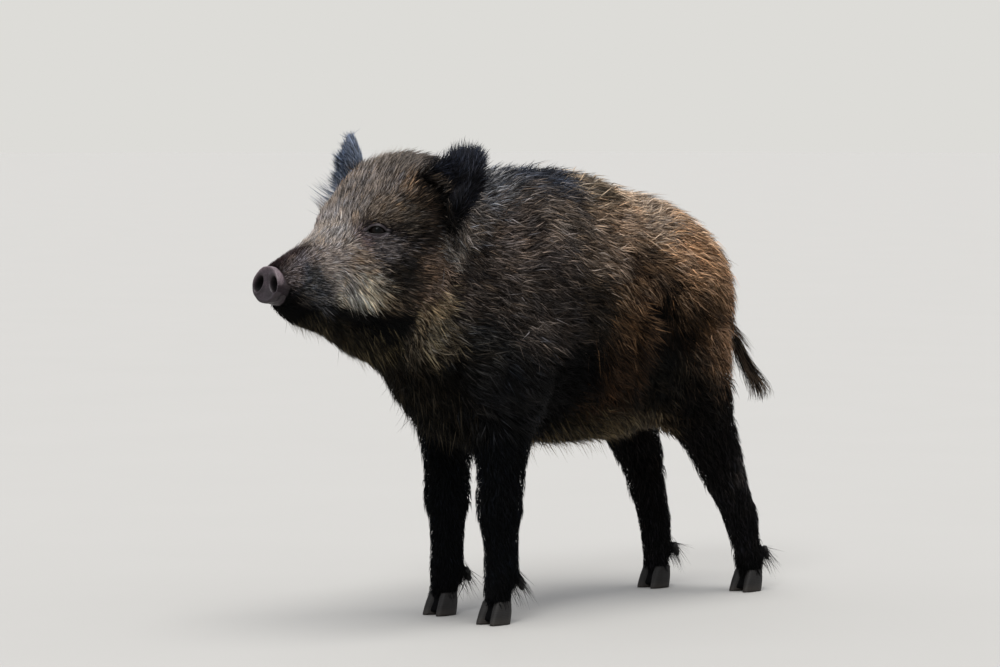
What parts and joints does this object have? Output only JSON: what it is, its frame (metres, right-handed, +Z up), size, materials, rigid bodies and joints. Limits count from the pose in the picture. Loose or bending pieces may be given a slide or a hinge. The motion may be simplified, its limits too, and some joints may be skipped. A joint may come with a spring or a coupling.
{
  "type": "wild boar",
  "caption": "Life-size standing young wild boar with raised head, pricked ears, shaggy grizzled coat and hanging tail.",
  "frame": {"origin": "middle of the bounding box at floor level, under the belly", "axes": "+Z up, the snout points towards -Y, and the animal's left side is +X"},
  "size_m": [0.2742, 0.9488, 0.663],
  "materials": {
    "face": "short grizzled hair",
    "back": "long coarse bristle",
    "limb": "short dark hair",
    "snout": "moist bare skin",
    "horn": "dull horn",
    "eye": "wet, glossy"
  },
  "bodies": {
    "root": {"lower_jaw": "face", "head": "face", "snout_disc": "snout", "eye_left": "eye", "ear_left": "limb", "eye_right": "eye", "ear_right": "limb", "neck": "back", "foreleg_left_upper": "limb", "foreleg_left_lower": "limb", "foreleg_left_hoof_inner": "horn", "foreleg_left_dewclaw_inner": "horn", "foreleg_left_hoof_outer": "horn", "foreleg_left_dewclaw_outer": "horn", "foreleg_right_upper": "limb", "foreleg_right_lower": "limb", "foreleg_right_hoof_inner": "horn", "foreleg_right_dewclaw_inner": "horn", "foreleg_right_hoof_outer": "horn", "foreleg_right_dewclaw_outer": "horn", "hindleg_left_upper": "limb", "hindleg_left_lower": "limb", "hindleg_left_hoof_inner": "horn", "hindleg_left_dewclaw_inner": "horn", "hindleg_left_hoof_outer": "horn", "hindleg_left_dewclaw_outer": "horn", "hindleg_right_upper": "limb", "hindleg_right_lower": "limb", "hindleg_right_hoof_inner": "horn", "hindleg_right_dewclaw_inner": "horn", "hindleg_right_hoof_outer": "horn", "hindleg_right_dewclaw_outer": "horn", "trunk": "back", "tail": "limb", "tail_brush": "limb"}
  },
  "joints": []
}
